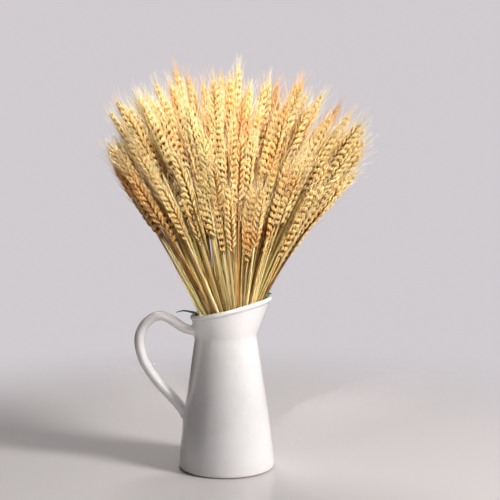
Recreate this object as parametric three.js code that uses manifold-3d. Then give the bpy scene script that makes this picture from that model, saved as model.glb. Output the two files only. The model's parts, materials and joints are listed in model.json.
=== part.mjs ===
// A glazed stoneware jug that holds a sheaf of dried bearded wheat.
// Millimetres, +Z up. The origin is the centre of the jug's foot, on the surface it stands on.
// The handle points along -X and the pouring lip along +X.
import * as THREE from "three";
import { mergeVertices } from "three/addons/utils/BufferGeometryUtils.js";
import Module from "manifold-3d";

const wasm = await Module();
wasm.setup();

const jugSize = {
  footRadius: 50,
  footEdge: 2, // rounding where the wall meets the foot
  bellyHeight: 30, // the wall is a straight cone from here up to the neck
  neckRadius: 32.3,
  neckHeight: 139,
  wallSlope: 0.14, // growth of the radius per millimetre down from the neck
  wall: 3.6,
  floor: 5,
  rimRadius: 36.6, // at the back, over the handle
  rimHeight: 160.5, // at the back
  lipReach: 10.7, // how far the pouring lip stands past the round of the rim
  lipHeight: 180, // at its tip
  lipNarrowing: 3, // power that keeps the lip to its own side
  rimBead: 1.2, // how far the rolled rim stands out of the wall
  segments: 48,
};

const handleSize = {
  thickness: 10.6,
  width: 15.5,
  // The centreline in the XZ plane, from the neck over the arch and down to the belly.
  route: [
    [-31, 142.4], [-43.6, 146.3], [-56.3, 154.4], [-62.4, 157.8], [-68.6, 159.2], [-76.8, 156.9],
    [-84, 150.8], [-89, 142], [-90.4, 131], [-87.6, 117], [-82.2, 105.3], [-70.2, 88.2],
    [-54.6, 71], [-48, 62.4], [-43, 53.5],
  ],
  sides: 12,
  steps: 26,
};

const sheaf = {
  count: 112, // seats in the round of the sheaf; every second one holds a stalk here
  floorGap: 1, // between a cut end and the jug's floor
  wallGap: 3.8, // between a stalk's middle line and the wall its cut end leans on
  waistHeight: 115.5, // where the stalks cross closest
  waistRadius: 15.6,
  spread: 0.575, // outermost stalks' sideways run per millimetre of height, far above the waist
  depth: 0.81, // the round is flatter from front to back than from handle to lip
  lipShift: 0.034, // the middle of the round moves towards the lip as it rises
  bow: 4e-6, // outward bend above the rim, per square millimetre
  droop: 1.2, // how much more the stalks on the lip's side bow
  wander: 7, // how far stalks stray sideways at the top of the sheaf
  heart: 110, // height that the ears' tips are measured from
  longest: 298,
  shortest: 186,
  rimShortening: 12, // the outer stalks are shorter
  // And most of all those that lean far to one side: how much at the edge, and a power, the
  // higher the nearer to the edge the shortening starts.
  handleSide: { shortening: 80, fall: 6.5 },
  lipSide: { shortening: 56, fall: 3.5 },
};

const stalkSize = {
  stemRadius: 1, // in the jug
  sheathRadius: 1.45, // above the rim, where dry leaf sheaths wrap it
  earLength: 68,
  earLengthSpread: 14,
  earRadius: 5.4,
  beard: 14, // length of the awns past the ear's tip
  sides: 6,
};

const leafSize = { thickness: 0.5, sides: 8, steps: 10 };

const glaze = new THREE.MeshStandardMaterial({ color: 0xf1efee, roughness: 0.16, metalness: 0 });
const straw = new THREE.MeshStandardMaterial({ color: 0xdcb777, roughness: 0.7, metalness: 0 });
const dryLeaf = new THREE.MeshStandardMaterial({ color: 0x5d6a4a, roughness: 0.75, metalness: 0 });

// A repeatable number from 0 to 1 for a stalk, different for each salt.
function chance(i, salt) {
  const n = Math.sin(i * 12.9898 + salt * 78.233) * 43758.5453;
  return n - Math.floor(n);
}

// A LatheGeometry keeps its own copy of the seam and pole vertices, so they are merged here.
function solidOf(geometry) {
  const bare = geometry.clone();
  bare.deleteAttribute("normal");
  bare.deleteAttribute("uv");
  const merged = mergeVertices(bare, 1e-3);
  return new wasm.Manifold(
    new wasm.Mesh({
      numProp: 3,
      vertProperties: merged.attributes.position.array,
      triVerts: new Uint32Array(merged.index.array),
    }),
  );
}

function geometryOf(solid) {
  const mesh = solid.getMesh();
  const places = new Float32Array(mesh.numVert * 3);
  for (let i = 0; i < mesh.numVert; i++) {
    places.set(mesh.vertProperties.subarray(i * mesh.numProp, i * mesh.numProp + 3), i * 3);
  }
  const geometry = new THREE.BufferGeometry();
  geometry.setAttribute("position", new THREE.BufferAttribute(places, 3));
  geometry.setIndex(new THREE.BufferAttribute(mesh.triVerts, 1));
  geometry.computeVertexNormals();
  return geometry;
}

// Lays a shape turned about Y, of unit length, along a curve. flatness squeezes it across the
// direction `level`, which the shape's own X follows.
function layAlong(turned, curve, level, flatness = 1) {
  const place = turned.attributes.position;
  const point = new THREE.Vector3();
  for (let i = 0; i < place.count; i++) {
    const along = THREE.MathUtils.clamp(place.getY(i), 0, 1);
    const ahead = curve.getTangentAt(along);
    const across = level.clone().addScaledVector(ahead, -level.dot(ahead)).normalize();
    const out = new THREE.Vector3().crossVectors(across, ahead);
    point.copy(curve.getPointAt(along));
    point.addScaledVector(across, place.getX(i));
    point.addScaledVector(out, place.getZ(i) * flatness);
    place.setXYZ(i, point.x, point.y, point.z);
  }
  return turned;
}

// The jug's wall radius outside, up to the neck.
function bodyRadius(z) {
  const { neckRadius, neckHeight, wallSlope, bellyHeight, footRadius } = jugSize;
  const straight = neckRadius + wallSlope * (neckHeight - z);
  if (z > bellyHeight) return straight;
  const drop = 1 - z / bellyHeight;
  const coneAtFoot = neckRadius + wallSlope * neckHeight;
  return straight + (footRadius - coneAtFoot) * drop * drop;
}

// The collar opens from the neck to a slanted rim, and further at the pouring lip.
function rimAt(angle) {
  const { rimRadius, lipReach, lipNarrowing, rimHeight, lipHeight } = jugSize;
  const towardsLip = Math.max(0, Math.cos(angle)) ** lipNarrowing;
  const radius = rimRadius + lipReach * towardsLip;
  const x = radius * Math.cos(angle);
  const rise = (x + rimRadius) / (2 * rimRadius + lipReach);
  return { radius, height: rimHeight + (lipHeight - rimHeight) * rise };
}

// The wall's section with the collar standing straight: [radius, height] going up the outside and
// down the inside. collarSteps places share the collar's height, and dressCollar opens them.
const collarSteps = [0.08, 0.3, 0.6, 0.85];

function jugSection() {
  const { footRadius, footEdge, neckHeight, neckRadius, wall, floor, rimBead } = jugSize;
  const inner = (z) => bodyRadius(z) - wall;
  const outside = [
    [0, 0],
    [footRadius - footEdge, 0],
    [footRadius - footEdge * 0.3, footEdge * 0.3],
    [bodyRadius(footEdge), footEdge],
  ];
  for (const z of [15, 30, 84, 134]) outside.push([bodyRadius(z), z]);
  const inside = [];
  for (const z of [134, 84, 30, 12]) inside.push([inner(z), z]);
  inside.push([inner(floor) - 3, floor], [0, floor]);
  const collarOut = collarSteps.map((t) => [neckRadius, neckHeight + t]);
  const collarIn = collarSteps.map((t) => [neckRadius - wall, neckHeight + t]).reverse();
  const top = neckHeight + 1;
  const bead = [
    [neckRadius + rimBead, top - 0.04],
    [neckRadius + rimBead, top],
    [neckRadius - wall * 0.5, top + 0.04],
    [neckRadius - wall, top],
  ];
  return [...outside, ...collarOut, ...bead, ...collarIn, ...inside].map(
    ([r, z]) => new THREE.Vector2(r, z),
  );
}

// Opens the collar of a shape turned about Z: a height of neckHeight + t is t of the way to the rim.
function dressCollar(geometry) {
  const { neckHeight, neckRadius } = jugSize;
  const place = geometry.attributes.position;
  for (let i = 0; i < place.count; i++) {
    const t = place.getZ(i) - neckHeight;
    if (t <= 0) continue;
    const angle = Math.atan2(place.getY(i), place.getX(i));
    const rim = rimAt(angle);
    const radius = Math.hypot(place.getX(i), place.getY(i)) + (rim.radius - neckRadius) * Math.min(t, 1);
    place.setXYZ(
      i,
      radius * Math.cos(angle),
      radius * Math.sin(angle),
      neckHeight + t * (rim.height - neckHeight),
    );
  }
  return geometry;
}

function turnedUpright(section) {
  return new THREE.LatheGeometry(section, jugSize.segments).rotateX(Math.PI / 2);
}

// What the jug holds, which the handle's ends must stay out of.
function hollow() {
  const { wall, floor, neckHeight, neckRadius } = jugSize;
  const section = [[0, neckHeight + 1], [neckRadius - wall, neckHeight]];
  for (const z of [134, 84, 30]) section.push([bodyRadius(z) - wall, z]);
  section.push([0, floor + 5]);
  return solidOf(turnedUpright(section.reverse().map(([r, z]) => new THREE.Vector2(r, z))));
}

function handle() {
  const { thickness, width, route, sides, steps } = handleSize;
  const curve = new THREE.CatmullRomCurve3(route.map(([x, z]) => new THREE.Vector3(x, 0, z)));
  const section = [new THREE.Vector2(0, 0)];
  for (let i = 0; i <= steps; i++) {
    const along = i / steps;
    const atRoot = Math.max(0, 1 - along / 0.12) ** 2;
    const atTongue = Math.max(0, (along - 0.86) / 0.14) ** 2;
    section.push(new THREE.Vector2((width / 2) * (1 + 0.25 * atRoot - 0.3 * atTongue), along));
  }
  section.push(new THREE.Vector2(0, 1));
  const turned = new THREE.LatheGeometry(section, sides);
  return solidOf(layAlong(turned, curve, new THREE.Vector3(0, 1, 0), thickness / width));
}

function jug() {
  const shell = solidOf(dressCollar(turnedUpright(jugSection())));
  const whole = shell.add(handle().subtract(hollow()));
  const mesh = new THREE.Mesh(geometryOf(whole), glaze);
  mesh.name = "jug";
  return mesh;
}

// A stalk's place in the sheaf's round, from 0 at the middle to 1 at the edge.
function seat(i) {
  const radius = Math.sqrt((i + 0.5) / sheaf.count);
  const angle = i * Math.PI * (3 - Math.sqrt(5));
  return new THREE.Vector2(radius * Math.cos(angle), radius * Math.sin(angle));
}

// Where the stalk of a seat is at height z. The stalks are straight rods that lean round one
// another, so they come close at the waist without meeting, and above the rim they bow a little.
function stalkPoint({ x: u, y: v }, z) {
  const { waistHeight, waistRadius, spread, depth, lipShift, bow, droop, wander } = sheaf;
  const rise = z - waistHeight;
  const above = Math.max(0, z - jugSize.rimHeight);
  const opened = 1 + bow * above * above * (1 + droop * Math.max(0, v) ** 2);
  const stray = (wander * above * above) / 5e4;
  const x = opened * (waistRadius * u + spread * rise * v) + lipShift * rise;
  const y = opened * depth * (waistRadius * v - spread * rise * u);
  return new THREE.Vector3(
    x + stray * Math.sin(3 * v + 2 * u),
    y + stray * Math.sin(3 * u - 2 * v + 1),
    z,
  );
}

// The lowest height a stalk can reach before it meets the jug's floor or wall.
function footHeight(place) {
  let z = jugSize.floor + sheaf.floorGap;
  for (; z < sheaf.waistHeight; z += 2) {
    const point = stalkPoint(place, z);
    if (Math.hypot(point.x, point.y) < bodyRadius(z) - jugSize.wall - sheaf.wallGap) break;
  }
  return z;
}

// How far the ear's tip stands from the sheaf's heart.
function reach(i) {
  const { count, longest, shortest, rimShortening, handleSide, lipSide } = sheaf;
  const outwards = (i + 0.5) / count;
  const lean = seat(i).y; // towards the handle below 0, towards the lip above
  const side = lean > 0 ? lipSide : handleSide;
  const top = longest - rimShortening * outwards ** 2 - side.shortening * Math.abs(lean) ** side.fall;
  return top - (top - shortest) * chance(i, 1) ** 1.6 * (0.35 + 0.65 * outwards);
}

// The stalk's middle line, from its cut end to `length` from the sheaf's heart.
function stalkCurve(place, length) {
  const heart = new THREE.Vector3(0, 0, sheaf.heart);
  const points = [];
  const from = footHeight(place);
  const step = 16;
  for (let z = from; ; z += step) {
    const point = stalkPoint(place, z);
    if (z > sheaf.heart && point.distanceTo(heart) > length) break;
    points.push(point);
  }
  const last = points[points.length - 1];
  const next = stalkPoint(place, last.z + step);
  const missing = length - last.distanceTo(heart);
  const share = missing / (next.distanceTo(heart) - last.distanceTo(heart));
  points.push(last.clone().lerp(next, Math.max(share, 0.1)));
  return new THREE.CatmullRomCurve3(points);
}

// A stem, its ear and the brush of awns past the ear, as one closed spindle.
function stalk(i) {
  const { stemRadius, sheathRadius, earLength, earLengthSpread, earRadius, beard, sides } = stalkSize;
  const curve = stalkCurve(seat(i), reach(i) + beard);
  const total = curve.getLength();
  const ear = earLength + earLengthSpread * (chance(i, 2) - 0.5);
  const earFrom = total - beard - ear;
  const start = curve.getPoint(0).z;
  const rimAlong = ((jugSize.neckHeight - start) * total) / (curve.getPoint(1).z - start);
  const profile = [[0, 0], [stemRadius, 0], [stemRadius, rimAlong * 0.5], [stemRadius, rimAlong * 0.9]];
  profile.push([sheathRadius, rimAlong * 1.25], [sheathRadius, (rimAlong * 1.25 + earFrom) / 2]);
  profile.push([stemRadius, earFrom]);
  for (const [at, r] of [[0.1, 0.8], [0.4, 1], [0.75, 0.88], [0.97, 0.6]]) {
    profile.push([earRadius * r, earFrom + at * ear]);
  }
  profile.push([earRadius * 0.42, total - beard * 0.6], [0.5, total], [0, total]);
  const turned = new THREE.LatheGeometry(
    profile.map(([r, along]) => new THREE.Vector2(r, along / total)),
    sides,
  );
  const mesh = new THREE.Mesh(layAlong(turned, curve, new THREE.Vector3(1, 0, 0)), straw);
  mesh.name = "wheat_" + String(i / 2 + 1).padStart(2, "0");
  return mesh;
}

// A leaf blade, widest a third of the way along and pointed at its far end. Its width lies
// along `across`.
function leaf(name, widest, across, route) {
  const { thickness, sides, steps } = leafSize;
  const curve = new THREE.CatmullRomCurve3(route.map(([x, y, z]) => new THREE.Vector3(x, y, z)));
  const section = [new THREE.Vector2(0, 0)];
  for (let i = 0; i <= steps; i++) {
    const along = i / steps;
    const half = (widest / 2) * (0.25 + 1.4 * Math.sqrt(along) * (1 - along) + 0.3 * (1 - along));
    section.push(new THREE.Vector2(half, along));
  }
  section.push(new THREE.Vector2(0, 1));
  const turned = new THREE.LatheGeometry(section, sides);
  const mesh = new THREE.Mesh(layAlong(turned, curve, across, (2 * thickness) / widest), dryLeaf);
  mesh.name = name;
  return mesh;
}

const jugOfWheat = new THREE.Group();
jugOfWheat.add(jug());
for (let i = 0; i < sheaf.count; i += 2) jugOfWheat.add(stalk(i));
const tilted = new THREE.Vector3(0, 0.6, 0.8);
const upright = new THREE.Vector3(-0.6, -0.35, 0.7);
const overRim = [
  [-29.5, -3, 158.5], [-32.2, -3.3, 162.6], [-37.5, -4, 164.2], [-44.5, -5, 165.3], [-52, -6, 163.8],
];
const atLip = [[37, -4, 175], [40.5, -5, 180], [44, -5.5, 183.4], [47.6, -6, 182.6]];
const behindLip = [[37, 6, 174.5], [40.5, 6.5, 180], [43.5, 7, 184.5], [46.5, 7.5, 186.8]];
jugOfWheat.add(leaf("leaf_over_rim", 2.6, tilted, overRim));
jugOfWheat.add(leaf("leaf_at_lip_1", 4.6, upright, atLip));
jugOfWheat.add(leaf("leaf_at_lip_2", 4.2, upright, behindLip));

export default jugOfWheat;
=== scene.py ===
# A sheaf of dried bearded wheat in a white glazed jug.
# Metres, +Z up, the jug's foot on z = 0, its handle towards -X and its pouring lip towards +X.
import json
import math

import bmesh
import bpy
from mathutils import Matrix, Vector

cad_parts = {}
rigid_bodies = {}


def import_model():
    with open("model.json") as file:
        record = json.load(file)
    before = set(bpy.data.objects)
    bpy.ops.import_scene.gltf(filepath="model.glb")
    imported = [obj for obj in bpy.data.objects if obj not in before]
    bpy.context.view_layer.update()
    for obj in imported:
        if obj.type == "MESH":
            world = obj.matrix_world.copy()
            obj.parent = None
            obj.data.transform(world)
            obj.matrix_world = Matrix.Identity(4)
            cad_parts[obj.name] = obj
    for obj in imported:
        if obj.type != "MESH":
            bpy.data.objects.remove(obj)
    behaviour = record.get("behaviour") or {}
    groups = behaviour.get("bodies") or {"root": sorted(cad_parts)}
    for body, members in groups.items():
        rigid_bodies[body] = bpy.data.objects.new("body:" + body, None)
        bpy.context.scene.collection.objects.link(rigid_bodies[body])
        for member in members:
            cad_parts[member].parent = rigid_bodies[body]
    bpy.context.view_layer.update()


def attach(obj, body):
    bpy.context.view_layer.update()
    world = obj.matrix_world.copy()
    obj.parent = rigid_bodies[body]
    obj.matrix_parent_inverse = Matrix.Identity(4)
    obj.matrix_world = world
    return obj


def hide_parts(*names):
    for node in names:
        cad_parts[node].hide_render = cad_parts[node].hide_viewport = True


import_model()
mm = 0.001

# Salts that keep the draws apart from each other.
salts = {
    "reach": 1, "earLength": 2, "earFace": 3, "tone": 4, "sheathEnd": 5, "infillReach": 6, "sheath": 7,
    "bladeLength": 8, "bladeWidth": 9, "bladeSpin": 11, "bladeWave": 12, "bladeLift": 13, "bareShare": 14,
    "glumeLean": 10, "glumeFan": 20, "floretLean": 30, "floretFan": 40, "floretLength": 50,
    "middleAwn": 60, "awnLean": 70, "awnFan": 80, "awnBendOut": 90, "awnBendAside": 95, "awnLength": 99,
}


def chance(i, salt, side=0):  # a repeatable number from 0 to 1
    n = math.sin(i * 12.9898 + (salts[salt] + side) * 78.233) * 43758.5453
    return n - math.floor(n)


def smoothstep(low, high, value):
    t = min(1.0, max(0.0, (value - low) / (high - low)))
    return t * t * (3 - 2 * t)


def smoothRoute(route, pieces):
    # A Catmull-Rom curve through the route, with so many pieces between two of its points.
    ends = [route[0] * 2 - route[1], *route, route[-1] * 2 - route[-2]]
    line = []
    for k in range(len(route) - 1):
        a, b, c, d = ends[k : k + 4]
        for j in range(pieces):
            t = j / pieces
            bend, twist = 2 * a - 5 * b + 4 * c - d, 3 * b - a - 3 * c + d
            line.append(0.5 * (2 * b + (c - a) * t + bend * t**2 + twist * t**3))
    line.append(route[-1])
    return line


def objectFromMesh(name, mesh):
    thing = bpy.data.objects.new(name, mesh)
    bpy.context.scene.collection.objects.link(thing)
    return thing


def meshFromRings(name, rings):
    # Rings of points, each ring closed on itself, joined by quads and capped by fans at both ends.
    sides = len(rings[0])
    points = [p for ring in rings for p in ring]
    faces = []
    for k in range(len(rings) - 1):
        for j in range(sides):
            a, b = k * sides + j, k * sides + (j + 1) % sides
            faces.append((a, b, b + sides, a + sides))
    for ring, turned in ((0, True), (len(rings) - 1, False)):
        points.append(tuple(sum((Vector(p) for p in rings[ring]), Vector()) / sides))
        hub = len(points) - 1
        for j in range(sides):
            a, b = ring * sides + j, ring * sides + (j + 1) % sides
            faces.append((b, a, hub) if turned else (a, b, hub))
    mesh = bpy.data.meshes.new(name)
    mesh.from_pydata([tuple(p) for p in points], [], faces)
    mesh.update()
    return mesh


def faceOutwards(mesh):
    shell = bmesh.new()
    shell.from_mesh(mesh)
    bmesh.ops.recalc_face_normals(shell, faces=shell.faces)
    shell.to_mesh(mesh)
    shell.free()


def mergeMeshes(name, meshes):
    whole = bmesh.new()
    for mesh in meshes:
        whole.from_mesh(mesh)
    merged = bpy.data.meshes.new(name)
    whole.to_mesh(merged)
    whole.free()
    return merged


def shadeSmooth(mesh):
    for face in mesh.polygons:
        face.use_smooth = True


# ---- node trees ----
class Wiring:
    # Adds nodes to a tree. An input is a constant or another node's output.
    def __init__(self, tree):
        self.tree = tree

    def feed(self, socket, value):
        if isinstance(value, bpy.types.NodeSocket):
            self.tree.links.new(value, socket)
        elif socket.type == "RGBA":
            socket.default_value = (*value, 1.0)
        else:
            socket.default_value = value

    def add(self, kind, settings=None, **inputs):
        # i3 stands for the node's input 3, and _ for a blank in an input's name.
        node = self.tree.nodes.new(kind)
        for name, value in (settings or {}).items():
            setattr(node, name, value)
        for name, value in inputs.items():
            self.feed(node.inputs[int(name[1:]) if name[1:].isdigit() else name.replace("_", " ")], value)
        return node

    def calc(self, operation, *values):
        inputs = {"i%d" % k: value for k, value in enumerate(values)}
        return self.add("ShaderNodeMath", {"operation": operation}, **inputs).outputs[0]

    def spread(self, source, fromLow, fromHigh, toLow, toHigh, way="LINEAR"):
        limits = {"From_Min": fromLow, "From_Max": fromHigh, "To_Min": toLow, "To_Max": toHigh}
        return self.add("ShaderNodeMapRange", {"interpolation_type": way}, Value=source, **limits).outputs[0]


class Paint(Wiring):
    # A material on the Principled shader.
    def __init__(self, name):
        self.material = bpy.data.materials.new(name)
        self.material.use_nodes = True
        super().__init__(self.material.node_tree)
        self.tree.nodes.clear()
        self.shader = self.add("ShaderNodeBsdfPrincipled")
        self.add("ShaderNodeOutputMaterial", Surface=self.shader.outputs["BSDF"])

    def surface(self, name, value):
        self.feed(self.shader.inputs[name], value)

    def place(self):  # where a point lies in its object
        return self.add("ShaderNodeTexCoord").outputs["Object"]

    def attribute(self, name):
        return self.add("ShaderNodeAttribute", {"attribute_name": name}).outputs["Fac"]

    def noise(self, vector, scale, detail=3.0):
        inputs = {"Vector": vector, "Scale": scale, "Detail": detail, "Roughness": 0.55}
        return self.add("ShaderNodeTexNoise", **inputs).outputs["Fac"]

    def ramp(self, source, stops):
        ramp = self.add("ShaderNodeValToRGB", i0=source)
        elements = ramp.color_ramp.elements
        while len(elements) > 1:
            elements.remove(elements[-1])
        for k, (place, colour) in enumerate(stops):
            element = elements[0] if k == 0 else elements.new(place)
            element.position = place
            element.color = (*colour, 1.0)
        return ramp.outputs["Color"]

    def mix(self, factor, first, second, blend="MIX"):
        settings = {"data_type": "RGBA", "blend_type": blend}
        return self.add("ShaderNodeMix", settings, i0=factor, i6=first, i7=second).outputs[2]

    def bump(self, height, distance, strength=1.0):
        inputs = {"Strength": strength, "Distance": distance, "Height": height}
        return self.add("ShaderNodeBump", **inputs).outputs["Normal"]


# ---- camera ----
camera = {
    "height": 323 * mm,
    "distance": 1.1,
    "turn": 1.29,  # degrees towards +X
    "tilt": 4.95,  # degrees down
    "lens": 76.68,
    "sensor": 36.0,
    "nearest": 0.01,
}


def makeCamera():
    data = bpy.data.cameras.new("camera")
    data.lens = camera["lens"]
    data.sensor_width = camera["sensor"]
    data.clip_start = camera["nearest"]
    eye = bpy.data.objects.new("camera", data)
    bpy.context.scene.collection.objects.link(eye)
    eye.location = (0, -camera["distance"], camera["height"])
    eye.rotation_euler = (math.radians(90 - camera["tilt"]), 0, math.radians(-camera["turn"]))
    bpy.context.scene.camera = eye


# ---- light and floor ----
studio = {
    "wallColour": (0.55, 0.522, 0.545),  # what shows past the floor
    "airColour": (1.0, 0.955, 0.98),
    "airReach": (-0.45, 0.9),  # between these directions along X the air brightens
    "airStrength": (0.01, 0.46),  # on the handle's side and on the lip's side
    "floorColour": (0.63, 0.605, 0.615),
    "floorCloud": (0.56, 0.54, 0.55),
    "floorCloudScale": 3.0,
    "floorCloudShare": 0.12,
    "floorRoughness": 0.3,
    "floorRadius": 0.8,
    "floorSides": 48,
    "floorLevel": -0.2 * mm,
    "floorFade": (0.28, 0.75),  # the floor melts into the wall between these radii
    # name: place, size, power, colour, height aimed at, spread in degrees
    "lamps": {
        "key": ((1.41, -0.8, 1.28), 0.5, 32.0, (1.0, 0.98, 0.955), 0.22, 180),
        "soft": ((0.25, -1.4, 1.1), 0.8, 1.5, (0.97, 0.96, 1.0), 0.22, 180),
        "strip": ((-0.95, -0.75, 0.3), 0.14, 0.2, (1.0, 0.96, 0.98), 0.22, 180),
        "back": ((-0.16, 0.96, 1.68), 0.8, 13.0, (1.0, 0.97, 0.92), 0.22, 180),
        "ears": ((-0.14, -1.08, 0.95), 0.12, 0.17, (1.0, 0.96, 0.89), 0.305, 16),
    },
}


def makeWorld():
    # Soft light that is brighter on the lip's side; the eye itself sees one even wall colour.
    world = bpy.data.worlds.new("air")
    world.use_nodes = True
    wiring = Wiring(world.node_tree)
    direction = wiring.add("ShaderNodeTexCoord").outputs["Generated"]
    towardsLip = wiring.add("ShaderNodeSeparateXYZ", Vector=direction).outputs["X"]
    strength = wiring.spread(towardsLip, *studio["airReach"], *studio["airStrength"])
    light = wiring.add("ShaderNodeBackground", Color=studio["airColour"], Strength=strength)
    wall = wiring.add("ShaderNodeBackground", Color=studio["wallColour"])
    toEye = wiring.add("ShaderNodeLightPath").outputs["Is Camera Ray"]
    choose = wiring.add("ShaderNodeMixShader", i0=toEye, i1=light.outputs[0], i2=wall.outputs[0])
    wiring.feed(world.node_tree.nodes["World Output"].inputs["Surface"], choose.outputs[0])
    bpy.context.scene.world = world


def makeFloor():
    radius, sides = studio["floorRadius"], studio["floorSides"]
    turns = [2 * math.pi * k / sides for k in range(sides)]
    corners = [(radius * math.cos(turn), radius * math.sin(turn), studio["floorLevel"]) for turn in turns]
    mesh = bpy.data.meshes.new("floor")
    mesh.from_pydata(corners, [], [tuple(range(sides))])
    floor = objectFromMesh("floor", mesh)
    paint = Paint("pale_floor")
    place = paint.place()
    cloud = paint.noise(place, studio["floorCloudScale"])
    cloudy = paint.spread(cloud, 0, 1, 0, studio["floorCloudShare"])
    colour = paint.mix(cloudy, studio["floorColour"], studio["floorCloud"])
    paint.surface("Base Color", colour)
    paint.surface("Roughness", studio["floorRoughness"])
    away = paint.add("ShaderNodeVectorMath", {"operation": "LENGTH"}, i0=place).outputs["Value"]
    paint.surface("Alpha", paint.spread(away, *studio["floorFade"], 1.0, 0.0, "SMOOTHSTEP"))
    floor.data.materials.append(paint.material)


def makeStudio():
    bpy.context.scene.view_settings.view_transform = "Standard"
    bpy.context.scene.view_settings.look = "Medium High Contrast"
    makeWorld()
    for name, (place, size, power, colour, height, spread) in studio["lamps"].items():
        data = bpy.data.lights.new(name, "AREA")
        data.shape = "DISK"
        data.size = size
        data.energy = power
        data.color = colour
        data.spread = math.radians(spread)
        lamp = bpy.data.objects.new(name, data)
        bpy.context.scene.collection.objects.link(lamp)
        lamp.location = place
        aim = Vector((0, 0, height)) - Vector(place)
        lamp.rotation_euler = aim.to_track_quat("-Z", "Y").to_euler()
    makeFloor()


# ---- the jug ----
jugSize = {
    "footRadius": 50 * mm,
    "footEdge": 2.2 * mm,
    "bellyHeight": 30 * mm,
    "neckRadius": 32.3 * mm,
    "neckHeight": 139 * mm,
    "wallSlope": 0.14,
    "collarSlope": 0.2,
    "wall": 3.6 * mm,
    "floor": 5 * mm,
    "rimRadius": 36.6 * mm,
    "rimHeight": 160.5 * mm,
    "rimFlatness": 0.8,  # of the half round on top of the rim
    "lipReach": 10.7 * mm,
    "lipHeight": 180 * mm,
    "lipNarrowing": 3,
    "bead": 1.1 * mm,  # the rolled rim's stand-out
    "beadHeight": 3.6 * mm,
    "segments": 180,
    "neckSoftening": 5,  # passes that round the neck's crease
    "fillet": 6 * mm,  # soft join between handle and body
}
# Heights of the rings in millimetres, and how many rings the rounded parts have.
jugRows = {
    "foot": 6,
    "body": (4, 6, 9, 12, 16, 20, 25, 30, 36, 44, 52, 60, 68, 76, 84, 92, 100),
    "neck": (107, 113, 118, 122, 125, *range(127, 139)),
    "collar": 22,
    "bead": 10,
    "underBead": 6,  # the softening stops this far under the bead
    "joined": 70,  # the handle's fillet stays on the first rows
    "rim": 12,
    "insideCollar": 12,
    "inside": (139, 136, 132, 126, 118, 108, 96, 84, 70, 56, 44, 34, 26, 19, 14, 11),
    # the rounded corner inside: height that gives the body's radius, distance from the wall, height
    "corner": ((8, 1, 7.5), (6, 3, 5.6), (6, 7, 5)),
}

handleSize = {
    "thickness": 10.6 * mm,
    "width": 15.5 * mm,
    "route": [
        (-31, 142.4), (-43.6, 146.3), (-56.3, 154.4), (-62.4, 157.8), (-68.6, 159.2), (-76.8, 156.9),
        (-84, 150.8), (-89, 142), (-90.4, 131), (-87.6, 117), (-82.2, 105.3), (-70.2, 88.2),
        (-54.6, 71), (-48, 62.4), (-43, 53.5),
    ],
    "sides": 40,
    "steps": 150,
    "fineness": 24,  # pieces between two points of the route
    "root": (0.12, 0.25, 0.3),  # share of the length, widening, thinning
    "tongue": (0.14, 0.3, 0.2),  # share of the length, narrowing, thinning
    "dip": (0.22, 0.12, 0.12),  # place of the thinner arch, its reach, thinning
    "rootSteps": 30,  # the fillet stays within these steps of the ends
    "tongueSteps": 40,
    "sector": -0.7,  # only body points on the handle's side of this cosine
    "lowestJoin": 30 * mm,
    "skin": 0.9 * mm,  # how deep the buried ends stay under the inner wall's face
}


def bodyRadius(z):
    s = jugSize
    straight = s["neckRadius"] + s["wallSlope"] * (s["neckHeight"] - z)
    if z > s["bellyHeight"]:
        return straight
    drop = 1 - z / s["bellyHeight"]
    return straight + (s["footRadius"] - s["neckRadius"] - s["wallSlope"] * s["neckHeight"]) * drop * drop


def rimAt(angle):
    s = jugSize
    radius = s["rimRadius"] + s["lipReach"] * max(0.0, math.cos(angle)) ** s["lipNarrowing"]
    rise = (radius * math.cos(angle) + s["rimRadius"]) / (2 * s["rimRadius"] + s["lipReach"])
    return radius, s["rimHeight"] + (s["lipHeight"] - s["rimHeight"]) * rise


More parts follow.
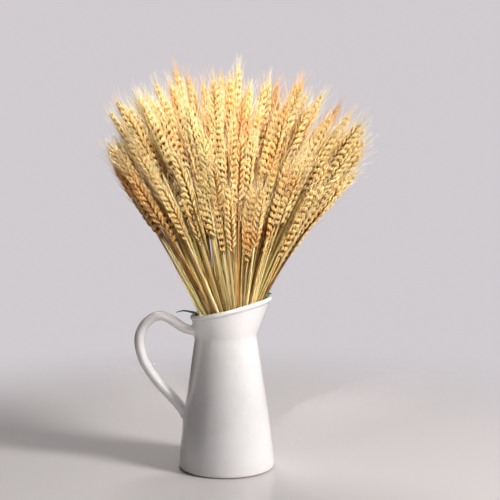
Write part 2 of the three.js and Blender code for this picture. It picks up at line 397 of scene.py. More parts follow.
def jugSection(angle):
    # (radius, height) up the outside, over the rolled rim and down the inside.
    s, rows = jugSize, jugRows
    rimRadius, rimHeight = rimAt(angle)
    neck, wall, half = s["neckHeight"], s["wall"], s["wall"] / 2
    rimHeight -= s["rimFlatness"] * half  # the rim's rounding stands on this
    span = rimHeight - neck
    edge = s["footEdge"]
    outside = []
    for k in range(rows["foot"] + 1):
        turn = math.pi / 2 * k / rows["foot"]
        outside.append((bodyRadius(edge) - edge * (1 - math.sin(turn)), edge * (1 - math.cos(turn))))
    outside += [(bodyRadius(z * mm), z * mm) for z in rows["body"]]
    first = len(outside)
    outside += [(bodyRadius(z * mm), z * mm) for z in rows["neck"]]
    beadFrom, beadRows = 1 - s["beadHeight"] / span, rows["bead"]
    shares = [beadFrom * k / rows["collar"] for k in range(rows["collar"])]
    shares += [beadFrom + (1 - beadFrom) * k / beadRows for k in range(beadRows + 1)]
    outside += [(s["neckRadius"] + (rimRadius - s["neckRadius"]) * t, neck + span * t) for t in shares]
    last = len(outside) - beadRows - rows["underBead"]
    for _ in range(s["neckSoftening"]):
        before = list(outside)
        for k in range(first, last):
            outside[k] = tuple((before[k - 1][n] + 2 * before[k][n] + before[k + 1][n]) / 4 for n in (0, 1))
    for k in range(beadRows + 1):  # the roll under the rim's edge
        r, z = outside[k - beadRows - 1]
        outside[k - beadRows - 1] = (r + s["bead"] * math.sqrt(1 - (2 * k / beadRows - 1) ** 2), z)
    centre = outside[-1][0] - half
    rim = []
    for k in range(1, rows["rim"]):
        turn = math.pi * k / rows["rim"]
        rim.append((centre + half * math.cos(turn), rimHeight + half * s["rimFlatness"] * math.sin(turn)))
    inside = []
    for k in range(rows["insideCollar"]):
        t = 1 - k / rows["insideCollar"]
        inside.append((s["neckRadius"] - wall + (rimRadius - s["neckRadius"]) * t, neck + span * t))
    inside += [(bodyRadius(z * mm) - wall, z * mm) for z in rows["inside"]]
    inside += [(bodyRadius(at * mm) - wall - gap * mm, z * mm) for at, gap, z in rows["corner"]]
    return outside + rim + inside


def handleCurve():
    # The handle's middle line as (point, direction) at equal steps.
    fine = smoothRoute([Vector((x * mm, 0, z * mm)) for x, z in handleSize["route"]], handleSize["fineness"])
    lengths = [0.0]
    for a, b in zip(fine, fine[1:]):
        lengths.append(lengths[-1] + (b - a).length)
    points = []
    steps = handleSize["steps"]
    k = 0
    for n in range(steps + 1):
        wanted = lengths[-1] * n / steps
        while k < len(fine) - 2 and lengths[k + 1] < wanted:
            k += 1
        t = (wanted - lengths[k]) / max(1e-9, lengths[k + 1] - lengths[k])
        points.append(fine[k].lerp(fine[k + 1], t))
    ahead = [(points[min(n + 1, steps)] - points[max(n - 1, 0)]).normalized() for n in range(steps + 1)]
    return list(zip(points, ahead))


def handleHalves(along):
    # Half width and half thickness; wide and flat at its root, narrow at the tongue below.
    h = handleSize
    rootShare, widening, rootThinning = h["root"]
    tongueShare, narrowing, tongueThinning = h["tongue"]
    dipPlace, dipReach, dipThinning = h["dip"]
    root = max(0.0, 1 - along / rootShare) ** 2
    tongue = max(0.0, (along - (1 - tongueShare)) / tongueShare) ** 2
    dip = math.exp(-(((along - dipPlace) / dipReach) ** 2))
    wide = 1 + widening * root - narrowing * tongue
    thick = 1 - rootThinning * root - dipThinning * dip - tongueThinning * tongue
    return h["width"] / 2 * wide, h["thickness"] / 2 * thick


def filletPush(gap):  # how far the skin swells at this distance from the other part
    fillet = jugSize["fillet"]
    return fillet / 4 * (1 - max(0.0, gap) / fillet) ** 2


def makeBody(curve):
    s, h = jugSize, handleSize
    steps = h["steps"]

    def pastHandle(point):  # distance from the handle's surface
        nearest = min(range(steps + 1), key=lambda n: (curve[n][0] - point).length_squared)
        middle, ahead = curve[nearest]
        wide, thick = handleHalves(nearest / steps)
        away = point - middle
        along = abs(away.dot(ahead)) if nearest in (0, steps) else 0.0
        flat = math.hypot(away.y / wide, (away - ahead * away.dot(ahead)).xz.length / thick)
        return max((flat - 1) * min(wide, thick), along - thick)

    turns = [2 * math.pi * j / s["segments"] for j in range(s["segments"])]
    sections = [jugSection(turn) for turn in turns]
    rings = []
    for row in range(len(sections[0])):
        ring = []
        for turn, section in zip(turns, sections):
            radius, height = section[row]
            out = Vector((math.cos(turn), math.sin(turn), 0))
            point = Vector((radius * math.cos(turn), radius * math.sin(turn), height))
            outside = row < jugRows["joined"] and radius > bodyRadius(height) - 1 * mm
            if outside and math.cos(turn) < h["sector"] and height > h["lowestJoin"]:
                gap = pastHandle(point)
                if gap < s["fillet"]:
                    point += out * filletPush(gap)
            ring.append(point)
        rings.append(ring)
    return objectFromMesh("jug_body", meshFromRings("jug_body", rings))


def makeHandle(curve):
    s, h = jugSize, handleSize
    rings = []
    for n, (middle, ahead) in enumerate(curve):
        wide, thick = handleHalves(n / h["steps"])
        nearEnd = n < h["rootSteps"] or n > h["steps"] - h["tongueSteps"]
        across = Vector((0, 1, 0))
        out = across.cross(ahead)
        ring = []
        for j in range(h["sides"]):
            turn = 2 * math.pi * j / h["sides"]
            offset = across * (wide * math.cos(turn)) + out * (thick * math.sin(turn))
            point = middle + offset
            level = min(point.z, s["neckHeight"])
            past = math.hypot(point.x, point.y) - bodyRadius(level)
            if point.z > s["neckHeight"]:
                past -= (point.z - s["neckHeight"]) * s["collarSlope"]
            if past < s["fillet"] and nearEnd:
                point += offset.normalized() * filletPush(past)
            radius = math.hypot(point.x, point.y)
            least = bodyRadius(level) - s["wall"] + h["skin"]
            if radius < least:  # keep the buried end inside the wall
                point.x *= least / radius
                point.y *= least / radius
            ring.append(point)
        rings.append(ring)
    return objectFromMesh("jug_handle", meshFromRings("jug_handle", rings))


def makeJugMesh():
    curve = handleCurve()
    body, handle = makeBody(curve), makeHandle(curve)
    faceOutwards(body.data)
    faceOutwards(handle.data)
    union = body.modifiers.new("join", "BOOLEAN")
    union.operation = "UNION"
    union.solver = "EXACT"
    union.object = handle
    graph = bpy.context.evaluated_depsgraph_get()
    whole = bpy.data.meshes.new_from_object(body.evaluated_get(graph))
    for thing in (body, handle):
        bpy.data.objects.remove(thing)
    return whole


glaze = {
    "stops": [(0.25, (0.70, 0.68, 0.68)), (0.5, (0.76, 0.745, 0.745)), (0.8, (0.80, 0.79, 0.785))],
    "cloudScale": 22.0,
    "bareClay": (0.55, 0.47, 0.4),  # on the foot's edge
    "clayEdge": (0.6 * mm, 2.2 * mm),
    "fineScale": 160.0,
    "roughness": (0.1, 0.24),
    "index": 1.5,
    "coat": 0.4,
    "coatRoughness": 0.05,
    "waveScale": 45.0,
    "fineShare": 0.08,  # of the fine grain in the waves
    "waveHeight": 0.5 * mm,
}


def makeGlaze():
    g = glaze
    paint = Paint("white_glaze")
    place = paint.place()
    colour = paint.ramp(paint.noise(place, g["cloudScale"], 4.0), g["stops"])
    height = paint.add("ShaderNodeSeparateXYZ", Vector=place).outputs["Z"]
    nearFoot = paint.spread(height, *g["clayEdge"], 1.0, 0.0)
    colour = paint.mix(nearFoot, colour, g["bareClay"])
    paint.surface("Base Color", colour)
    fine = paint.noise(place, g["fineScale"])
    paint.surface("Roughness", paint.spread(fine, 0.2, 0.8, *g["roughness"]))
    paint.surface("IOR", g["index"])
    paint.surface("Coat Weight", g["coat"])
    paint.surface("Coat Roughness", g["coatRoughness"])
    waves = paint.calc("MULTIPLY_ADD", fine, g["fineShare"], paint.noise(place, g["waveScale"], 2.0))
    paint.surface("Normal", paint.bump(waves, g["waveHeight"], 0.5))
    return paint.material


def makeJug():
    jug = objectFromMesh("jug_glazed", makeJugMesh())
    jug.data.materials.clear()
    jug.data.materials.append(makeGlaze())
    shadeSmooth(jug.data)
    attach(jug, "root")
    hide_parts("jug")
    print("jug:", len(jug.data.polygons), "faces")


# ---- the sheaf: where each stalk runs ----
sheaf = {
    "count": 112,
    "floorGap": 1,
    "wallGap": 3.8,
    "waistHeight": 115.5,
    "waistRadius": 15.6,
    "spread": 0.575,
    "depth": 0.81,
    "lipShift": 0.034,
    "mouth": 160.5,  # height where the bending starts
    "bow": 4e-6,
    "droop": 1.2,
    "wander": 7,  # how far a stalk strays by the height whose square follows
    "wanderOver": 5e4,
    "heart": 110,
    "longest": 298,
    "shortest": 186,
    "shortBias": 1.6,
    "heartScatter": 0.35,  # the inner ears differ less in height
    "rimShortening": 12,
    "handleSide": (80, 6.5),  # how much shorter at that edge, and how late it starts
    "lipSide": (56, 3.5),
    "earLength": 68,
    "earLengthSpread": 14,
}


def outwards(i):  # 0 in the middle of the sheaf, 1 at its edge
    return (i + 0.5) / sheaf["count"]


def seat(i):
    radius = math.sqrt(outwards(i))
    angle = i * math.pi * (3 - math.sqrt(5))
    return radius * math.cos(angle), radius * math.sin(angle)


def stalkPoint(u, v, z):  # millimetres
    s = sheaf
    rise = z - s["waistHeight"]
    above = max(0.0, z - s["mouth"])
    opened = 1 + s["bow"] * above * above * (1 + s["droop"] * max(0.0, v) ** 2)
    stray = s["wander"] * above * above / s["wanderOver"]
    x = opened * (s["waistRadius"] * u + s["spread"] * rise * v) + s["lipShift"] * rise
    y = opened * s["depth"] * (s["waistRadius"] * v - s["spread"] * rise * u)
    return Vector((x + stray * math.sin(3 * v + 2 * u), y + stray * math.sin(3 * u - 2 * v + 1), z))


def footHeight(u, v):
    z = jugSize["floor"] / mm + sheaf["floorGap"]
    while z < sheaf["waistHeight"]:
        point = stalkPoint(u, v, z)
        room = (bodyRadius(z * mm) - jugSize["wall"]) / mm - sheaf["wallGap"]
        if math.hypot(point.x, point.y) < room:
            break
        z += 2
    return z


def sheafTop(i):
    s = sheaf
    lean = seat(i)[1]
    shortening, fall = s["lipSide"] if lean > 0 else s["handleSide"]
    return s["longest"] - s["rimShortening"] * outwards(i) ** 2 - shortening * abs(lean) ** fall


def reach(i):
    s = sheaf
    top = sheafTop(i)
    scatter = s["heartScatter"] + (1 - s["heartScatter"]) * outwards(i)
    return top - (top - s["shortest"]) * chance(i, "reach") ** s["shortBias"] * scatter


def stalkLine(i, far):
    # Points from the cut end to the ear's tip, far from the sheaf's heart, in millimetres.
    u, v = seat(i)
    heart = Vector((0, 0, sheaf["heart"]))
    z = footHeight(u, v)
    points = [stalkPoint(u, v, z)]
    while (points[-1] - heart).length < far or points[-1].z < 200:
        z += 3
        points.append(stalkPoint(u, v, z))
    return points


# ---- one spikelet: two glumes, three plump florets and their awns ----
# The mesh's kind is 0 on a stem, in between on husks and 1 on awns.
# Angles are degrees from the ear's line. A pair is the least value and how much it varies.
variants = 8
glumeShape = {
    "rings": [(0.0, 0.3), (0.2, 0.85), (0.5, 1.0), (0.8, 0.6), (1.0, 0.08)],
    "sides": 5,
    "length": 7.6 * mm,
    "width": 2.8 * mm,
    "thickness": 1.4 * mm,
    "curl": 0.08,
    "kind": 0.35,
    "start": (0.5 * mm, 0.9 * mm, -0.3 * mm),
    "face": (0.6, 0.8, 0),
    "lean": (11, 4),
    "fan": (19, 5),
}
floretShape = {
    "rings": [(0.0, 0.28), (0.1, 0.66), (0.28, 0.97), (0.5, 1.0), (0.7, 0.78), (0.87, 0.42), (1.0, 0.1)],
    "sides": 6,
    "length": 9.6 * mm,
    "width": 3.2 * mm,
    "thickness": 2.8 * mm,
    "curl": 0.07,
    "kind": 0.5,
    "sideStart": (0.8 * mm, 0.8 * mm, 0.8 * mm),
    "middleStart": (1.6 * mm, 0, 2.2 * mm),
    "lean": 15,
    "middleLean": 9,  # more for the middle floret
    "fan": 12,
    "vary": 6,
    "middleLength": 0.9,
    "lengthVary": (0.93, 0.14),
    "faceFan": 0.55,
    "keel": 1.25,
}
awnShape = {
    "sides": 3,
    "pieces": 5,
    "radius": 0.31 * mm,
    "taper": 0.75,
    "length": (19 * mm, 10.5 * mm),
    "middleLength": 0.75,
    "middleMissing": 0.4,  # share of middle florets without one
    "buried": 0.6 * mm,
    "lean": (3, 17),
    "fan": 7,
    "fanVary": 18,
    "bend": 0.34,
    "bendOut": 0.42,  # the draw at which it doesn't bend outwards or inwards
    "kind": 1.0,
}


def addTube(parts, loops, kind):
    # Loops of points as (place along the part, points), joined by quads and closed by flat ends.
    first, sides = len(parts["points"]), len(loops[0][1])
    for t, loop in loops:
        parts["points"] += loop
        parts["along"] += [t] * sides
        parts["kind"] += [kind] * sides
    for k in range(len(loops) - 1):
        for j in range(sides):
            a, b = first + k * sides + j, first + k * sides + (j + 1) % sides
            parts["faces"].append((a, b, b + sides, a + sides))
    last = first + (len(loops) - 1) * sides
    parts["faces"].append(tuple(first + sides - 1 - j for j in range(sides)))
    parts["faces"].append(tuple(last + j for j in range(sides)))


def addHusk(parts, shape, start, heading, face, length):
    # An almond along the heading, its back towards the face, bent by its curl back to the stalk.
    ahead = heading.normalized()
    across = ahead.cross(face).normalized()
    back = across.cross(ahead).normalized()
    sides = shape["sides"]
    loops = []
    for t, share in shape["rings"]:
        middle = start + ahead * (length * t) + back * (shape["curl"] * length * math.sin(math.pi * t))
        loop = []
        for j in range(sides):
            turn = 2 * math.pi * (j + 0.5) / sides
            keel = floretShape["keel"] if math.sin(turn) > 0.5 else 1.0
            wide = shape["width"] / 2 * share * math.cos(turn)
            thick = shape["thickness"] / 2 * share * keel * math.sin(turn)
            loop.append(middle + across * wide + back * thick)
        loops.append((t, loop))
    addTube(parts, loops, shape["kind"])
    return start + ahead * length


def addAwn(parts, start, heading, bend, length):
    a = awnShape
    ahead = heading.normalized()
    across = ahead.orthogonal().normalized()
    up = ahead.cross(across)
    turns = [2 * math.pi * j / a["sides"] for j in range(a["sides"])]
    loops = []
    for k in range(a["pieces"] + 1):
        t = k / a["pieces"]
        middle = start + ahead * (length * t) + bend * (length * t * t)
        radius = a["radius"] * (1 - a["taper"] * t)
        loop = [middle + across * (radius * math.cos(turn)) + up * (radius * math.sin(turn)) for turn in turns]
        loops.append((t, loop))
    addTube(parts, loops, a["kind"])


def headed(lean, fan):  # degrees; Z runs up the ear, X points away from it
    lean, fan = math.radians(lean), math.radians(fan)
    return Vector((math.sin(lean), math.sin(fan), math.cos(lean)))


def makeSpikelet(n):
    parts = {"points": [], "faces": [], "along": [], "kind": []}
    g, f, a = glumeShape, floretShape, awnShape

    def draw(pair, salt, side):
        return pair[0] + pair[1] * chance(n, salt, side)

    def vary(salt, side, around=0.5):
        return chance(n, salt, side) - around

    for side in (-1, 1):
        lean = draw(g["lean"], "glumeLean", side)
        fan = draw(g["fan"], "glumeFan", side) * side
        mirror = Vector((1, side, 1))
        start, face = Vector(g["start"]) * mirror, Vector(g["face"]) * mirror
        addHusk(parts, g, start, headed(lean, fan), face, g["length"])
    for side in (-1, 1, 0):
        lean = f["lean"] + (0 if side else f["middleLean"]) + f["vary"] * vary("floretLean", side)
        fan = f["fan"] * side + f["vary"] * vary("floretFan", side)
        length = f["length"] * (1.0 if side else f["middleLength"]) * draw(f["lengthVary"], "floretLength", side)
        start = Vector(f["sideStart" if side else "middleStart"])
        start.y *= side
        face = Vector((1, f["faceFan"] * side, 0)).normalized()
        heading = headed(lean, fan)
        tip = addHusk(parts, f, start, heading, face, length)
        if side or chance(n, "middleAwn") > a["middleMissing"]:
            lean = draw(a["lean"], "awnLean", side)
            fan = a["fan"] * side + a["fanVary"] * vary("awnFan", side)
            bendOut, bendAside = vary("awnBendOut", side, a["bendOut"]), vary("awnBendAside", side)
            bend = Vector((a["bend"] * bendOut, a["bend"] * bendAside, 0))
            length = draw(a["length"], "awnLength", side) * (1.0 if side else a["middleLength"])
            addAwn(parts, tip - heading.normalized() * a["buried"], headed(lean, fan), bend, length)
    mesh = bpy.data.meshes.new("spikelet")
    mesh.from_pydata([tuple(p) for p in parts["points"]], [], parts["faces"])
    for name in ("along", "kind"):
        mesh.attributes.new(name, "FLOAT", "POINT").data.foreach_set("value", parts[name])
    mesh.update()
    return mesh


# ---- the stalk's Geometry Nodes tree ----
stalkInputs = {
    "Ear Start": ("NodeSocketFloat", 0.25),
    "Spikelets": ("NodeSocketInt", 21),
    "Ear Face": ("NodeSocketVector", (1, 0, 0)),
    "Tone": ("NodeSocketFloat", 0.5),
    "Seed": ("NodeSocketInt", 0),
    "Bare Share": ("NodeSocketFloat", 0.3),
    "Spikelet Kit": ("NodeSocketCollection", None),
    "Material": ("NodeSocketMaterial", None),
}


earLook = {
    "sizes": [(0.0, 0.62), (0.12, 0.86), (0.4, 1.0), (0.72, 0.93), (1.0, 0.6)],  # along the ear
    "sizeVary": (0.93, 1.07),
    "twist": 0.5,
    "sway": (-0.16, 0.16),
    "nod": (-0.07, 0.09),
    "closing": (5.0, -0.32),  # power and angle by which the spikelets close towards the tip
    "stemSides": 8,
}


def makeStalkTree():
    tree = bpy.data.node_groups.new("wheatStalk", "GeometryNodeTree")
    tree.is_modifier = True
    sockets = tree.interface
    sockets.new_socket(name="Geometry", in_out="INPUT", socket_type="NodeSocketGeometry")
    for name, (kind, value) in stalkInputs.items():
        socket = sockets.new_socket(name=name, in_out="INPUT", socket_type=kind)
        if value is not None:
            socket.default_value = value
    sockets.new_socket(name="Geometry", in_out="OUTPUT", socket_type="NodeSocketGeometry")
    wiring = Wiring(tree)
    add, calc = wiring.add, wiring.calc

    def store(geometry, name, value):
        settings = {"data_type": "FLOAT", "domain": "POINT"}
        node = add("GeometryNodeStoreNamedAttribute", settings, Geometry=geometry, Name=name, Value=value)
        return node.outputs[0]

    def recall(name):
        return add("GeometryNodeInputNamedAttribute", {"data_type": "FLOAT"}, Name=name).outputs[0]

    def compare(operation, first, second):
        settings = {"data_type": "FLOAT", "operation": operation}
        return add("FunctionNodeCompare", settings, i0=first, i1=second).outputs[0]

    given = add("NodeGroupInput").outputs
    curve = given["Geometry"]
    index = add("GeometryNodeInputIndex").outputs[0]

    def draw(limits, salt=0.0):  # a random number for each spikelet
        seed = calc("ADD", given["Seed"], salt)
        settings = {"data_type": "FLOAT"}
        node = add("FunctionNodeRandomValue", settings, i2=limits[0], i3=limits[1], ID=index, Seed=seed)
        return node.outputs[1]

    def turned(rotation, **angles):
        by = add("FunctionNodeEulerToRotation", Euler=add("ShaderNodeCombineXYZ", **angles).outputs[0])
        settings = {"rotation_space": "LOCAL"}
        node = add("FunctionNodeRotateRotation", settings, Rotation=rotation, Rotate_By=by.outputs[0])
        return node.outputs[0]

    # The stem is swept with the radius that each point of the curve holds.
    marked = store(curve, "along", add("GeometryNodeSplineParameter").outputs["Length"])
    sides = earLook["stemSides"]
    circle = add("GeometryNodeCurvePrimitiveCircle", {"mode": "RADIUS"}, Resolution=sides, Radius=1.0)
    ring = store(circle.outputs[0], "around", add("GeometryNodeSplineParameter").outputs["Factor"])
    thick = add("GeometryNodeInputRadius").outputs[0]
    swept = add("GeometryNodeCurveToMesh", Curve=marked, Profile_Curve=ring, Scale=thick, Fill_Caps=True)
    stem = store(swept.outputs[0], "kind", 0.0)
    # Spikelets sit on the last stretch, on alternate sides.
    length = add("GeometryNodeCurveLength", Curve=curve).outputs[0]
    ear = add("GeometryNodeTrimCurve", {"mode": "LENGTH"}, Curve=curve, i4=given["Ear Start"], i5=length)
    count = given["Spikelets"]
    spots = add("GeometryNodeCurveToPoints", {"mode": "COUNT"}, Curve=ear.outputs[0], Count=count)
    along = calc("DIVIDE", index, calc("SUBTRACT", count, 1.0))
    upright = add("FunctionNodeAlignRotationToVector", {"axis": "Z"}, Vector=spots.outputs["Tangent"])
    faced = add(
        "FunctionNodeAlignRotationToVector", {"axis": "X", "pivot_axis": "Z"},
        Rotation=upright.outputs[0], Vector=given["Ear Face"],
    )
    halfTurn = calc("MULTIPLY", calc("MODULO", index, 2.0), math.pi)
    twist = calc("MULTIPLY_ADD", along, earLook["twist"], halfTurn)
    spun = turned(faced.outputs[0], Z=calc("ADD", twist, draw(earLook["sway"])))
    power, angle = earLook["closing"]
    closing = calc("MULTIPLY", calc("POWER", along, power), angle)
    leant = turned(spun, Y=calc("ADD", closing, draw(earLook["nod"], 57.0)))
    size = add("ShaderNodeFloatCurve", Value=along)
    points = size.mapping.curves[0].points
    points[0].location, points[1].location = earLook["sizes"][0], earLook["sizes"][-1]
    for spot in earLook["sizes"][1:-1]:
        points.new(*spot)
    size.mapping.update()
    scale = calc("MULTIPLY", size.outputs[0], draw(earLook["sizeVary"], 91.0))
    seed = given["Seed"]
    pick = add("FunctionNodeRandomValue", {"data_type": "INT"}, i4=0, i5=variants - 1, ID=index, Seed=seed)
    kit = add(
        "GeometryNodeCollectionInfo", Collection=given["Spikelet Kit"], Separate_Children=True, Reset_Children=True
    )
    placed = add(
        "GeometryNodeInstanceOnPoints", Points=store(spots.outputs["Points"], "earPlace", along),
        Instance=kit.outputs[0], Pick_Instance=True, Instance_Index=pick.outputs[2], Rotation=leant, Scale=scale,
    )
    joined = add("GeometryNodeJoinGeometry", i0=placed.outputs[0])
    wiring.feed(joined.inputs[0], stem)
    real = add("GeometryNodeRealizeInstances", Geometry=joined.outputs[0])
    # The lowest spikelets have lost their awns.
    isAwn = compare("GREATER_THAN", recall("kind"), 0.8)
    isLow = compare("LESS_THAN", recall("earPlace"), given["Bare Share"])
    lost = add("FunctionNodeBooleanMath", {"operation": "AND"}, i0=isAwn, i1=isLow).outputs[0]
    trimmed = add("GeometryNodeDeleteGeometry", {"domain": "POINT"}, Geometry=real.outputs[0], Selection=lost)
    toned = store(trimmed.outputs[0], "tone", given["Tone"])
    smooth = add("GeometryNodeSetShadeSmooth", Geometry=toned)
    painted = add("GeometryNodeSetMaterial", Geometry=smooth.outputs[0], Material=given["Material"])
    add("NodeGroupOutput", i0=painted.outputs[0])
    return tree


straw = {
    # stops: place, colour
    # the husks' ramp paints shade: near black at each husk's base, in the folds between husks
    "foldShadedChaff": [
        (0.0, (0.05, 0.018, 0.004)), (0.22, (0.26, 0.11, 0.024)), (0.38, (0.86, 0.56, 0.2)),
        (0.64, (1.0, 0.84, 0.44)), (1.0, (0.97, 0.72, 0.34)),
    ],
    "stem": [
        (0.3, (0.2, 0.1, 0.03)), (0.38, (0.6, 0.42, 0.15)), (0.46, (0.92, 0.76, 0.4)),
        (0.6, (1.0, 0.93, 0.64)),
    ],
    "stemTints": [
        (0.0, (1.0, 1.0, 0.92)), (0.42, (1.0, 0.98, 0.85)), (0.5, (0.72, 0.72, 0.42)), (0.58, (1.0, 0.97, 0.85)),
        (0.7, (0.9, 0.6, 0.36)), (0.8, (0.3, 0.17, 0.08)), (1.0, (0.16, 0.08, 0.03)),
    ],
    "awn": [(0.0, (0.92, 0.68, 0.32)), (0.4, (0.99, 0.84, 0.50)), (1.0, (1.0, 0.93, 0.72))],
    "freckle": (0.50, 0.25, 0.07),
    # brown for ripe ears, and painted shade on the inner stalks, whose tone is raised
    "ripeAndInnerShade": (0.56, 0.21, 0.05),
    "green": (0.48, 0.46, 0.10),
    "pale": (1.0, 0.88, 0.52),
    "warm": (0.95, 0.62, 0.4),  # browner parts of the sheaf
    "warmScale": 14.0,
    "patchScale": 55.0,
    "grainScale": 420.0,
    "grainHeight": 0.15 * mm,
    "streaks": (3.0, 16.0, 300.0),  # around a stem, along it and from stem to stem
    "tintTurns": 37.0,  # how fast the stems' tints change with their tone
    "foldShadeLift": 0.36,  # the painted shade in the folds is lighter near the ear's tip
    "roughness": (0.42, 0.66),
    "specular": 0.4,
}


def makeStraw():
    paint = Paint("dry_wheat")
    calc, spread, mix = paint.calc, paint.spread, paint.mix
    place = paint.place()
    along, kind, tone = (paint.attribute(name) for name in ("along", "kind", "tone"))
    grain = paint.noise(place, straw["grainScale"])
    patch = paint.noise(place, straw["patchScale"], 2.0)
    lifted = calc("MULTIPLY", paint.attribute("earPlace"), straw["foldShadeLift"])
    # painted shade: dark in the folds at each husk's base, pale at the shoulders
    foldShadedChaff = paint.ramp(calc("MAXIMUM", along, lifted), straw["foldShadedChaff"])
    sources = (paint.attribute("around"), along, tone)
    lane = [calc("MULTIPLY", source, scale) for source, scale in zip(sources, straw["streaks"])]
    lane = paint.add("ShaderNodeCombineXYZ", X=lane[0], Y=lane[1], Z=lane[2]).outputs[0]
    stem = paint.ramp(paint.noise(lane, 1.0), straw["stem"])
    own = calc("FRACT", calc("MULTIPLY", tone, straw["tintTurns"]))
    stem = mix(1.0, stem, paint.ramp(own, straw["stemTints"]), "MULTIPLY")
    isChaff, isAwn = calc("GREATER_THAN", kind, 0.2), calc("GREATER_THAN", kind, 0.8)
    foldShadedChaff = mix(spread(grain, 0.45, 0.7, 0.0, 0.4), foldShadedChaff, straw["freckle"])
    colour = mix(isChaff, stem, foldShadedChaff)
    colour = mix(isAwn, colour, paint.ramp(along, straw["awn"]))
    # A high tone browns the stalk: ripe ears, and painted shade on the inner stalks.
    colour = mix(spread(tone, 0.62, 0.95, 0.0, 0.75), colour, straw["ripeAndInnerShade"])
    green = calc("MULTIPLY", spread(tone, 0.3, 0.0, 0.0, 0.4), spread(isChaff, 0, 1, 1.0, 0.3))
    colour = mix(green, colour, straw["green"])
    colour = mix(spread(patch, 0.5, 0.75, 0.0, 0.3), colour, straw["pale"])
    warm = spread(paint.noise(place, straw["warmScale"], 1.0), 0.5, 0.72, 0.0, 0.8)
    colour = mix(calc("MULTIPLY", warm, isChaff), colour, straw["warm"], "MULTIPLY")
    paint.surface("Base Color", colour)
    paint.surface("Roughness", spread(grain, 0.2, 0.8, *straw["roughness"]))
    paint.surface("Specular IOR Level", straw["specular"])
    paint.surface("Normal", paint.bump(grain, straw["grainHeight"], 0.6))
    return paint.material


# ---- laying the stalks ----
# Stem radii and heights in millimetres.
stemSize = {
    "radius": 0.9,
    "mouthThickening": 0.2,
    "mouth": (125, 165),  # the stems thicken between these heights
    "sheath": (0.2, 0.55),  # how much the dry leaf sheath adds: least, and how much it varies
    "sheathTop": (165, 90),  # it ends between this height and this far under the ear's tip
    "soft": 4,  # length over which a change of radius is spread
    "earThinning": 0.35,
    "spikeletGap": 3.15,
    "bareShare": (0.15, 0.25),
    # share of the tone that follows the stalk's place: the inner stalks get browner, a painted shade inside the
    # sheaf
    "innerShadeShare": 0.28,
}


# More stalks between the full ones, to be seen only.
infill = {
    # name: first seat, step, count, shortest and longest reach
    "low": (33.5, 2, 39, 186, 232),
    "high": (2.5, 2, 39, 245, 292),
    "front": (20.25, 1, 90, 186, 222),
    "frontSeats": (0.4, 0.45),  # only those this far forward and this near the middle
    "thinner": 0.75,
    "perBundle": 14,
}


def layStalk(i, far, thinner, tree, common):
    # One curve from the cut end to the ear's tip, with the tree on it.
    s = stemSize
    line = stalkLine(i, far)
    lengths = [0.0]
    for a, b in zip(line, line[1:]):
        lengths.append(lengths[-1] + (b - a).length)
    ear = sheaf["earLength"] + sheaf["earLengthSpread"] * (chance(i, "earLength") - 0.5)
    earStart = lengths[-1] - ear
    lowest, underTip = s["sheathTop"]
    sheathEnd = lowest + (line[-1].z - underTip - lowest) * chance(i, "sheathEnd")
    sheath = s["sheath"][0] + s["sheath"][1] * chance(i, "sheath")
    data = bpy.data.curves.new("stalkLine", "CURVE")
    data.dimensions = "3D"
    spline = data.splines.new("POLY")
    kept = [k for k in range(len(line)) if k % 3 == 0 or k == len(line) - 1]
    spline.points.add(len(kept) - 1)
    for n, k in enumerate(kept):
        point = line[k]
        spline.points[n].co = (*(point * mm), 1.0)
        pastMouth = smoothstep(*s["mouth"], point.z)
        sheathed = pastMouth * (1 - smoothstep(sheathEnd, sheathEnd + s["soft"], point.z))
        inEar = smoothstep(earStart - s["soft"], earStart + s["soft"], lengths[k])
        radius = (s["radius"] + s["mouthThickening"] * pastMouth + sheath * sheathed) * thinner
        spline.points[n].radius = (radius - s["earThinning"] * inEar) * mm
    thing = bpy.data.objects.new("stalkLine", data)
    bpy.context.scene.collection.objects.link(thing)
    modifier = thing.modifiers.new("wheat", "NODES")
    modifier.node_group = tree
    face = 2 * math.pi * chance(i, "earFace")
    # Part of the tone browns the inner stalks: painted shade inside the sheaf.
    ripeAndInnerShade = s["innerShadeShare"]
    inputs = {
        "Ear Start": earStart * mm,
        "Spikelets": round(ear / s["spikeletGap"]),
        "Ear Face": (math.cos(face), math.sin(face), 0.0),
        "Tone": (1 - ripeAndInnerShade) * chance(i, "tone") + ripeAndInnerShade * (1 - outwards(i)),
        "Seed": int(2 * i),
        "Bare Share": s["bareShare"][0] + s["bareShare"][1] * chance(i, "bareShare"),
        **common,
    }
    for item in tree.interface.items_tree:
        if item.in_out == "INPUT" and item.name in inputs:
            modifier[item.identifier] = inputs[item.name]
    return thing


